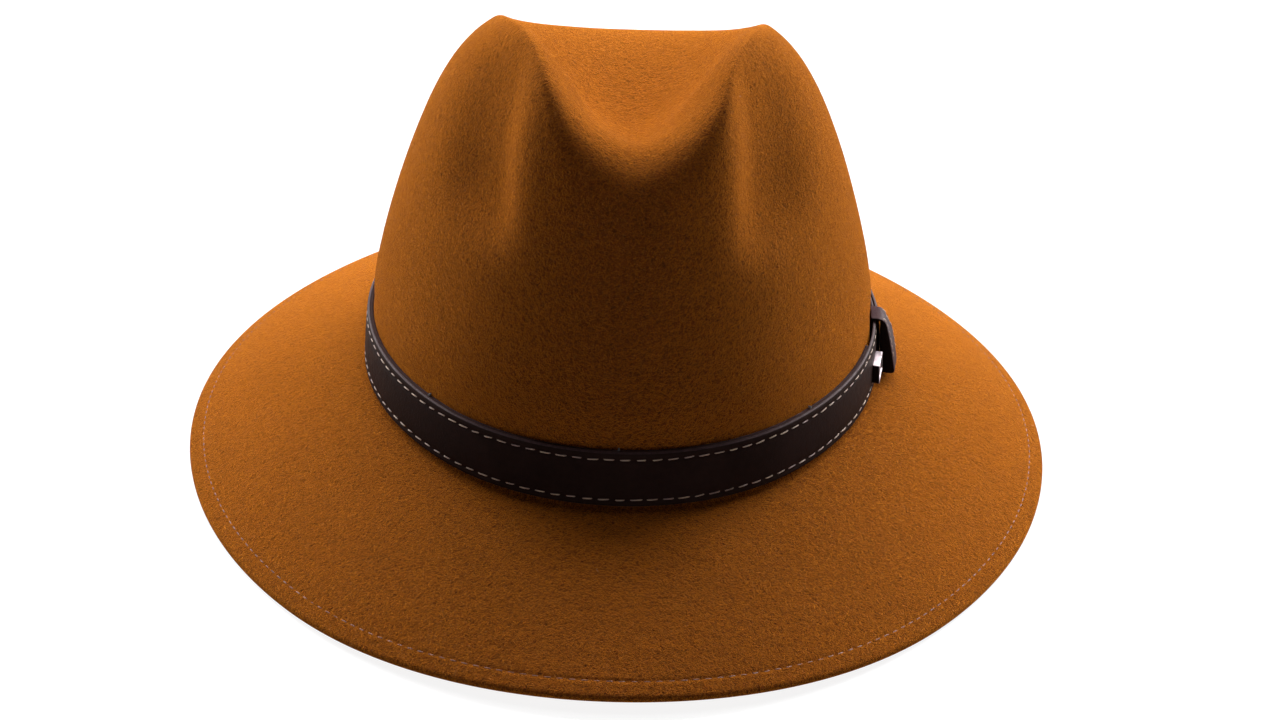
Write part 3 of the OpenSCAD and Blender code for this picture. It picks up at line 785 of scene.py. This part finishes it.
def strip_outline(d_in, d_out, r=0.8, furrow=FURROW, puff=PUFF):
    """Section of a strip of leather with turned edges and a furrow under each stitched row."""
    z = np.linspace(STRAP_Z + r, STRAP_TOP - r, 47)
    mid, half = (STRAP_Z + STRAP_TOP) / 2, (STRAP_TOP - STRAP_Z) / 2
    d = d_out + puff * (1 - ((z - mid) / half) ** 2)
    for row in (ROW_LOWER, ROW_UPPER):
        d = d - furrow * hump(z, row, FURROW_W)
    face = np.stack([d, z], -1)
    low = arc(d_out - r, STRAP_Z + r, r, -90, 0, 6)
    high = arc(d_out - r, STRAP_TOP - r, r, 0, 90, 6)
    back = np.array([[d_in, STRAP_TOP], [d_in, mid], [d_in, STRAP_Z]])
    return np.concatenate([low[:-1], face, high[1:], back])


def lap(a):
    """How far the strap stands out over its own end at angle a."""
    return (TAIL_OUT - FACE_OUT) * (1 - smooth((a - TAIL_A1 + LAP_RAMP) / LAP_RAMP))


def make_strap():
    """The face leather, which laps over its own end at the keeper, and the backing leather."""
    angles = np.linspace(TAIL_A0, 360 + TAIL_A1, 860)
    outline = strip_outline(FACE_IN + 0.02, FACE_OUT)
    strap = join("strap_face", [sweep_data(outline, angles, lap(angles))])
    # The second material paints a highlight on the strap's upper and lower edges.
    finish(strap, "strap", "band_strap", more=("edge",))
    mark_highlit_edges(strap)
    outline = strip_outline(BACKING_IN, FACE_IN - 0.02, r=0.25, furrow=0, puff=0)
    backing = join("strap_backing",
                   [sweep_data(outline, np.linspace(BARE_A1, 360 + BARE_A0, 700))])
    finish(backing, "suede", "band_backing")


def mark_highlit_edges(obj):
    """The upper and lower turned edges take the second material, whose lighter colour paints a
    highlight on them.
    """
    top, low = (STRAP_TOP - EDGE_ROUND + REST_H) * MM, (STRAP_Z + EDGE_ROUND + REST_H) * MM
    for poly in obj.data.polygons:
        z = poly.center[2]
        if z > top or z < low:
            poly.material_index = 1


def make_strap_stitches():
    """Both rows of stitches, each stitch a strand that dips into the leather at its ends."""
    rng = np.random.default_rng(SEED + 2)
    a, s = lengths(FACE_OUT, TAIL_A0, 360 + TAIL_A0)
    for name, z0, start in (("upper", ROW_UPPER, 1.9), ("lower", ROW_LOWER, 0.6)):
        parts = []
        for mid in np.arange(start + 1, s[-1] - 2.2, STITCH_PITCH):
            half = STITCH_LEN / 2 + rng.normal() * 0.16
            t = np.linspace(-1, 1, 7)
            at = np.interp(mid + half * t + rng.normal() * 0.05, s, a)
            d = FACE_OUT + lap(at) + PUFF * 0.3 - FURROW + 0.17 - STITCH_SINK * t**6
            z = z0 + (0.11 + rng.normal() * 0.07) * t + rng.normal() * 0.07
            path = leaning(at, d, z)
            parts.append(tube_data(path, outward(at), THREAD_R, 8, 0.78))
        finish(join("strap_stitches_" + name, parts), "stitch", "band_thread_" + name)


# ---------------- keeper

KEEPER_IN = FELT_OUT + KEEPER_GAP
KEEPER_SNUG = TAIL_OUT + THREAD_D * 0.4 + KEEPER_GAP
KEEPER_OUT = KEEPER_SNUG + KEEPER_SLACK_TOP + KEEPER_T
KEEPER_Z0, KEEPER_Z1 = STRAP_Z - KEEPER_GAP, STRAP_TOP + KEEPER_GAP
KEEPER_SPREAD = (KEEPER_SLACK_LOW - KEEPER_SLACK_TOP) / (KEEPER_Z1 - KEEPER_Z0)
KEEPER_LEAN = WALL_LEAN + KEEPER_SPREAD
KEEPER_LEAF = KEEPER_OUT + KEEPER_SPREAD * KEEPER_Z1
KEEPER_TURN = math.degrees(KEEPER_LEN / (SIDE_R + TAIL_OUT))
KEEPER_A1 = KEEPER_A0 + KEEPER_TURN
KEEPER_FLARE, KEEPER_BULGE, KEEPER_EDGE, KEEPER_INSET = 1.3, 0.35, 0.5, 0.42
KEEPER_ROW, KEEPER_PITCH, KEEPER_STITCH, KEEPER_THREAD_R = 1.6, 2.75, 2.04, 0.26
BADGE_A0 = BADGE_A1 - math.degrees(BADGE_LEN / (SIDE_R + FACE_OUT))
# The strap has no backing between these angles, where the badge and the keeper are.
BARE_A0, BARE_A1 = BADGE_A0 - 1, KEEPER_A1 + KEEPER_BACK + 1


def keeper_outlines():
    """Outer and inner outline of the keeper in (true offset, height), point by point."""

    def leaf(z, bulge=0.0):
        return [KEEPER_LEAF + bulge - KEEPER_LEAN * z, z]

    def back(z, depth=0.0):
        return [KEEPER_IN + depth - WALL_LEAN * z, z]

    def snug(z):
        return [KEEPER_SNUG - WALL_LEAN * z, z]

    z0, z1 = KEEPER_Z0, KEEPER_Z1
    low, high = z0 - KEEPER_FOLD_T, z1 + KEEPER_FOLD_T
    mid = (low + high) / 2
    outer = [back(low), leaf(low), leaf(mid, KEEPER_BULGE), leaf(high), back(high)]
    inner = [back(z0, KEEPER_BACK_T), snug(z0), snug(mid), snug(z1), back(z1, KEEPER_BACK_T)]
    return (round_section(outer, (0.4, 1.5, 5, 3.2, 0.5)),
            round_section(inner, (0.15, 0.3, 5, 0.3, 0.15)))


def keeper_flare(d, a):
    """How far the keeper's outer leaf stands out at offset d and angle a, most at its rear."""
    return KEEPER_FLARE * (a - KEEPER_A0) / KEEPER_TURN * smooth((d - KEEPER_SNUG - 0.6) / 1.5)


def keeper_ring(section, a):
    """Points of a section of the keeper at angle a."""
    d = section[:, 0] + keeper_flare(section[:, 0], a)
    return leaning(np.full(len(section), a), d, section[:, 1], 0)


def make_keeper():
    """The keeper: a loop of leather with rounded edges; its front and rear ends are near black,
    edge paint darkened further as painted shade.
    """
    outer, inner = keeper_outlines()
    gap = inner - outer
    thick = np.linalg.norm(gap, axis=1)[:, None]
    step = gap / thick * np.minimum(KEEPER_INSET, thick * 0.4)
    edge = KEEPER_EDGE / KEEPER_LEN * KEEPER_TURN
    turn = np.radians(np.linspace(0, 90, 5))
    inset = 1 - np.sin(turn)
    front = KEEPER_A0 + edge * (1 - np.cos(turn))
    rear = KEEPER_A1 - edge * (1 - np.cos(turn))
    between = np.linspace(KEEPER_A0 + edge, KEEPER_A1 - edge, 12)[1:-1]
    rows = [keeper_ring(outer + step * i, a) for i, a in zip(inset, front)]
    rows += [keeper_ring(outer, a) for a in between]
    rows += [keeper_ring(outer + step * i, a) for i, a in zip(inset[::-1], rear[::-1])]
    rows += [keeper_ring(inner - step * i, a) for i, a in zip(inset, rear)]
    rows += [keeper_ring(inner, a) for a in between[::-1]]
    rows += [keeper_ring(inner - step * i, a) for i, a in zip(inset[::-1], front[::-1])]
    loop = join("keeper_leather", [skin_data(rows, close_rows=True)], "keeper")
    finish(loop, "keeper", "keeper_loop", more=("cut_edge_paint_and_shade",))
    # Faces at the loop's front and rear ends take the near-black second material: edge paint with
    # painted shade.
    for poly in loop.data.polygons:
        a = math.atan2(poly.center[1], poly.center[0] - SIDE_C * MM)
        facing = abs(poly.normal[1] * math.cos(a) - poly.normal[0] * math.sin(a))
        poly.material_index = 1 if facing > 0.6 else 0
    make_keeper_stitches(outer)


def make_keeper_stitches(outer):
    """Stitches over the keeper's outer leaf and its upper fold, near both edges."""
    leaf = outer[(outer[:, 1] > KEEPER_Z0 + 1.2) & (outer[:, 0] > KEEPER_IN + 2.2)]
    run = np.concatenate([[0], np.cumsum(np.linalg.norm(np.diff(leaf, axis=0), axis=1))])
    aside = KEEPER_ROW / KEEPER_LEN * KEEPER_TURN
    t = np.linspace(-1, 1, 6)
    parts = []
    for a in (KEEPER_A0 + aside, KEEPER_A1 - aside):
        for mid in np.arange(1.2, run[-1] - 1.0, KEEPER_PITCH):
            at = np.clip(mid + KEEPER_STITCH / 2 * t, 0, run[-1])
            p = np.stack([np.interp(at, run, leaf[:, 0]), np.interp(at, run, leaf[:, 1])], -1)
            way = np.gradient(p, axis=0)
            out = unit(np.stack([way[:, 1], -way[:, 0]], -1))
            path = keeper_ring(p + out * (0.06 - 0.3 * t**6)[:, None], a)
            ups = out[:, :1] * outward(np.full(len(t), a)) + out[:, 1:] * UP
            parts.append(tube_data(path, ups, KEEPER_THREAD_R, 8, 0.8))
    finish(join("keeper_stitches", parts, "keeper"), "stitch", "keeper_thread")


# ---------------- badge

BADGE_MID, BADGE_Z = (BADGE_A0 + BADGE_A1) / 2, STRAP_Z + BADGE_UP
# Steps of the badge's surface as (inset, height below its top): side, rounded edge, raised
# border, and the sunk face inside it, which rises slightly to its middle
BADGE_STEPS = ((0, BADGE_T - 0.06), (0, BADGE_T - 0.3), (0, 0.3), (0.04, 0.14), (0.13, 0.04),
               (0.28, 0), (0.7, 0), (0.86, 0.05), (0.94, 0.2), (1.0, 0.36),
               (1.15, 0.42), (1.8, 0.4), (2.4, 0.37), (3.0, 0.35))


def badge_outline(inset, corner=0.5, n=4):
    """Rounded outline of the badge as (along, up) points."""
    w, h = BADGE_LEN / 2 - inset, BADGE_H / 2 - inset
    r = max(corner - inset, 0.25)
    corners = [(w - r, h - r, 0), (-w + r, h - r, 90), (-w + r, -h + r, 180), (w - r, -h + r, 270)]
    return np.concatenate([arc(x, y, r, t, t + 90, n) for x, y, t in corners])


def make_badge():
    """The metal plate, its ends painted near black as shade, and better materials for its CAD
    prongs and for the band's tacks.
    """
    rows = []
    for inset, below in BADGE_STEPS:
        uv = badge_outline(inset)
        a = BADGE_MID + np.degrees(uv[:, 0] / (SIDE_R + FACE_OUT))
        rows.append(leaning(a, FACE_OUT + BADGE_T - below, BADGE_Z + uv[:, 1]))
    badge = join("badge", [skin_data(rows, caps=(0, 1))])
    finish(badge, "nickel", "badge_plate", more=("cut_edge_paint_and_shade",))
    # The plate's end faces, along the strap, take near-black leather as painted shade.
    way = math.radians(BADGE_MID + 90)
    for poly in badge.data.polygons:
        if abs(poly.normal[0] * math.cos(way) + poly.normal[1] * math.sin(way)) > 0.8:
            poly.material_index = 1
    carry_over("badge_prongs", "steel")
    carry_over("badge_backplate", "steel")
    carry_over("band_tacks", "dark_thread")


# ---------------- sweatband

SWEAT_Z0, SWEAT_Z1 = -SWEAT_DROP, SWEAT_H - SWEAT_DROP
SWEAT_ROUND, SWEAT_ROW, SWEAT_PITCH, SEAM_GAP = 0.35, SWEAT_Z0 + 2.5, 3.6, 0.22


def sweat(a, d, z):
    """Point in the sweatband's leaning layer."""
    return leaning(a, d + SWEAT_LEAN * SWEAT_Z0, z, SWEAT_LEAN)


def make_sweatband():
    """The leather with two tooled lines and a sewn row, its reed, and the back seam's stitches."""
    r = SWEAT_ROUND
    z = np.linspace(SWEAT_Z0 + r, SWEAT_Z1 - r, 60)
    face = 0.05 * np.sin(z / 2.7)
    for line in (SWEAT_Z1 - 3.2, SWEAT_Z1 - 4.2, SWEAT_ROW):
        face += 0.16 * hump(z, line, 0.3)
    outline = np.concatenate([
        arc(r, SWEAT_Z0 + r, r, -90, -180)[:-1], np.stack([face, z], -1),
        arc(r, SWEAT_Z1 - r, r, 180, 90)[1:],
        [[SWEAT_T, SWEAT_Z1], [SWEAT_T, 12.0], [SWEAT_T, SWEAT_Z0]]])
    outline[:, 0] += SWEAT_LEAN * SWEAT_Z0
    angles = np.linspace(90 + SEAM_GAP, 450 - SEAM_GAP, 560)
    band = join("sweatband_leather", [sweep_data(outline, angles, lean=SWEAT_LEAN)])
    finish(band, "sweat_leather", "sweatband")

    z = SWEAT_Z0 - REED_D / 2 - 0.05
    a = np.linspace(0, 360, 420, endpoint=False)
    path = level(a, SWEAT_T / 2 + 0.1, z)
    reed = join("reed_piping",
                [tube_data(path, np.tile(UP, (len(a), 1)), REED_D / 2, 12, closed=True)])
    finish(reed, "tape", "sweatband_reed")
    carry_over("reed_tape", "tape")

    rng = np.random.default_rng(SEED + 3)
    angle, s = lengths(0, 92, 448)
    parts = []
    for mid in np.arange(2, s[-1] - 2, SWEAT_PITCH):
        t = np.linspace(-1, 1, 6)
        at = np.interp(mid + 1.3 * t, s, angle)
        p = sweat(at, -0.12 + 0.34 * t**6, SWEAT_ROW + 0.05 * rng.normal() + 0.08 * t)
        parts.append(tube_data(p, -outward(at), INNER_R, 6, 0.8))
    finish(join("sweatband_stitches", parts), "stitch", "sweatband_thread")

    parts = []
    for z in np.arange(SWEAT_Z0 + 4, SWEAT_Z1 - 2, 3.0):
        for lean in (-1, 1):
            t = np.linspace(-1, 1, 9)
            a = 90 + t * 1.25
            p = sweat(a, -0.16 + 0.45 * t**6, z + lean * 1.1 * t)
            parts.append(tube_data(p, -outward(a), INNER_R, 6, 0.85))
    finish(join("seam_stitches", parts), "dark_thread", "back_seam_stitches")


RIBBON_T, RIBBON_CROWN = 0.3, 0.12


def ribbon_data(path, half_width, across):
    """A slightly crowned ribbon along a path; across is the direction of its width."""
    path = np.asarray(path, float)
    across = np.broadcast_to(np.asarray(across, float), path.shape)
    normal = unit(np.cross(unit(np.gradient(path, axis=0)), across))
    w = np.broadcast_to(half_width, (len(path),))[:, None]
    f = np.linspace(-1, 1, 7)
    rows = [path + w * u * across + normal * (RIBBON_CROWN * (1 - u * u) + side)
            for side, line in ((RIBBON_T / 2, f), (-RIBBON_T / 2, f[::-1])) for u in line]
    return skin_data(np.stack(rows, 1), caps=(0, 1))


BOW_Z, BOW_ROOM = SWEAT_Z0 + 10, 3.2


def make_bow():
    """Two loops, two tails and the knot between them, in front of the sweatband's back seam."""
    origin = np.array([0, HALF_L - SWEAT_LEAN * (BOW_Z + 2 - SWEAT_Z0) - BOW_ROOM, BOW_Z])
    parts = []
    for s in (-1, 1):
        t = np.linspace(0, 1, 30)
        x = s * (1.0 + (BOW_W / 2 - 1.0) * np.sin(math.pi * t) ** 0.75)
        y = 1.65 * np.sin(2 * math.pi * t) * np.sin(math.pi * t) ** 0.4
        loop = origin + np.stack([x, y, 0.5 * np.sin(math.pi * t)], -1)
        parts.append(ribbon_data(loop, 1.5 + 0.6 * np.sin(math.pi * t), UP))
        t = np.linspace(0, 1, 12)
        tail = np.stack([s * (0.8 + 4.4 * t), 0.9 + 0.5 * np.sin(3 * t), -1 - 7.4 * t], -1)
        parts.append(ribbon_data(origin + tail, 1.5 + 0.3 * t, [0.86, 0, s * 0.5]))
    t = np.radians(np.linspace(0, 360, 24, endpoint=False))
    knot = [origin + np.stack([np.full(len(t), x), 1.5 * w * np.sin(t), 2.3 * w * np.cos(t)], -1)
            for x, w in ((-1.5, 0.55), (-1.2, 0.86), (-0.5, 1), (0.5, 1), (1.2, 0.86), (1.5, 0.55))]
    parts.append(skin_data(knot, caps=(0, 1)))
    finish(join("ribbon_bow", parts), "ribbon", "sweatband_bow")


LABEL_Z0, LABEL_Z1, LABEL_A0, LABEL_A1 = SWEAT_Z0 + 12, SWEAT_Z0 + 22, 104, 116


def make_label():
    """The blank size label, lying on the sweatband beside its seam."""
    z = np.linspace(LABEL_Z0, LABEL_Z1, 13)
    face = -0.34 - 0.06 * np.sin((z - LABEL_Z0) / (LABEL_Z1 - LABEL_Z0) * math.pi)
    outline = np.concatenate([np.stack([face, z], -1), [[-0.06, LABEL_Z1], [-0.06, LABEL_Z0]]])
    outline[:, 0] += SWEAT_LEAN * SWEAT_Z0
    angles = np.linspace(LABEL_A0, LABEL_A1, 26)
    label = join("blank_label", [sweep_data(outline, angles, lean=SWEAT_LEAN)])
    finish(label, "label", "size_label")


# ---------------- lining

GATHER_H, LINING_ROOM, SIDE_ROWS, TIP_ROWS = 0.95, 0.32, 34, 96


def ring_k(i):
    """Crown ring that part.scad numbers i."""
    return 1 - 0.96 * (i / CROWN_RINGS) ** 1.5


def gathers(a, sharp=1.0):
    """Small folds in the satin round the seam, from 0 to 1."""
    t = np.radians(a)
    f = np.sin(61 * t + 1.7 * np.sin(5 * t)) + 0.5 * np.sin(97 * t + 2.2 * np.sin(3 * t) + 1)
    return (0.5 + f / 3.0) ** sharp


def lining_row(k, lift):
    """Ring of the lining inside crown ring k, lifted off the felt."""
    p, n = crown(ROUND, k), crown_normal(ROUND, k)
    return p - n * (LINING_OUT + LINING_ROOM - uneven_crown(p) + lift)[:, None]


def make_lining():
    """Side and tip of the satin lining, gathered into the piped seam between them."""
    seam_k = ring_k(SEAM_RING)
    u = np.linspace(0, 1, SIDE_ROWS)
    rows = [lining_row(k, GATHER_H * gathers(ROUND) * smooth((v - 0.25) / 0.75))
            for k, v in zip(np.linspace(ring_k(1), seam_k, SIDE_ROWS), u)]
    side = join("lining_wall", [skin_data(rows)])
    finish(side, "satin", "lining_side")

    u = np.linspace(0, 1, TIP_ROWS)
    rows = [lining_row(k, GATHER_H * gathers(ROUND, 1.3) * smooth(1 - v / 0.35))
            for k, v in zip(seam_k - (seam_k - 0.012) * u**0.9, u)]
    tip = join("lining_top", [skin_data(rows, caps=(1,))])
    finish(tip, "satin", "lining_tip")

    p, n = crown(ROUND, seam_k), crown_normal(ROUND, seam_k)
    seam = p - n * (LINING_OUT + LINING_T + PIPING_D / 2 + 0.35)
    piping = join("seam_piping", [tube_data(seam, n, PIPING_D / 2, 10, closed=True)])
    finish(piping, "piping", "lining_piping")


# ---------------- floor, light and camera

WHITE = (1, 1, 1, 1)
FLOOR_HALF, FLOOR_DROP, FLOOR_GLOW, WORLD_LEVEL = 25.0, 0.0004, 0.88, 0.02
# Lamps, in metres and watts: place, size across and along, power
LAMPS = {
    "light_back": ((0.0, 0.80, 1.10), (1.6, 0.5), 52),
    "light_left": ((-0.95, 0.75, 0.62), (0.7, 0.7), 32),
    "light_right": ((0.95, 0.75, 0.62), (0.7, 0.7), 44),
    "light_top": ((0.0, 0.10, 1.30), (1.0, 0.6), 8),
}
LAMP_TARGET = Vector((0, 0, 0.08))
# Camera, in millimetres and degrees: how far off, aside and up it is from the brim break's
# middle, seen along its own axes, and how it is turned
CAMERA_DIST, CAMERA_ASIDE, CAMERA_UP = 700.0, 7.0, -3.9
CAMERA_DOWN, CAMERA_ROLL, CAMERA_YAW = 29.15, 2.33, 0.91
CAMERA_LENS, CAMERA_SENSOR = 55.125, 36.0


def make_floor():
    """A white floor that glows a little, so that it stays white round the hat."""
    bm = bmesh.new()
    bmesh.ops.create_grid(bm, x_segments=8, y_segments=8, size=FLOOR_HALF)
    mesh = bpy.data.meshes.new("floor")
    bm.to_mesh(mesh)
    bm.free()
    floor = bpy.data.objects.new("floor", mesh)
    floor.location.z = -FLOOR_DROP
    bpy.context.scene.collection.objects.link(floor)
    m = Nodes("floor_white")
    m.put("Base Color", m.ramp(m.noise(3, 2), (0.3, 0.13), (0.7, 0.16)))
    m.put("Roughness", 0.85)
    m.put("Specular IOR Level", 0.1)
    m.put("Emission Color", WHITE)
    m.put("Emission Strength", FLOOR_GLOW)
    mesh.materials.append(m.mat)


def make_light():
    """A dim white world and four rectangular lamps, most of the light from behind."""
    world = bpy.data.worlds.new("studio")
    world.use_nodes = True
    background = world.node_tree.nodes["Background"].inputs
    background["Color"].default_value, background["Strength"].default_value = WHITE, WORLD_LEVEL
    bpy.context.scene.world = world
    for name, (place, size, power) in LAMPS.items():
        data = bpy.data.lights.new(name, "AREA")
        data.shape, data.size, data.size_y, data.energy = "RECTANGLE", *size, power
        lamp = bpy.data.objects.new(name, data)
        lamp.location = place
        lamp.rotation_euler = (LAMP_TARGET - Vector(place)).to_track_quat("-Z", "Y").to_euler()
        bpy.context.scene.collection.objects.link(lamp)


def make_camera():
    """The camera, before the hat and above it, turned and rolled a little."""
    down, roll, yaw = map(math.radians, (CAMERA_DOWN, CAMERA_ROLL, CAMERA_YAW))

    def turned(x, y, z):
        return Vector((x * math.cos(yaw) + y * math.sin(yaw),
                       -x * math.sin(yaw) + y * math.cos(yaw), z))

    right = turned(1, 0, 0)
    top = turned(0, math.sin(down), math.cos(down))
    ahead = turned(0, math.cos(down), -math.sin(down))
    x = right * math.cos(roll) + top * math.sin(roll)
    y = top * math.cos(roll) - right * math.sin(roll)
    place = right * CAMERA_ASIDE + top * CAMERA_UP - ahead * CAMERA_DIST
    m = Matrix((x, y, -ahead)).transposed().to_4x4()
    m.translation = (place + Vector((0, 0, REST_H))) * MM
    data = bpy.data.cameras.new("camera")
    data.sensor_width, data.lens, data.clip_start = CAMERA_SENSOR, CAMERA_LENS, 0.01
    camera = bpy.data.objects.new("camera", data)
    camera.matrix_world = m
    bpy.context.scene.collection.objects.link(camera)
    bpy.context.scene.camera = camera


make_camera()
outer_felt = make_felt()
make_nap(outer_felt)
make_lint(outer_felt)
make_edge_row()
make_strap()
make_strap_stitches()
make_keeper()
make_badge()
make_sweatband()
make_bow()
make_label()
make_lining()
make_floor()
make_light()
bpy.context.scene.view_settings.view_transform = "Standard"
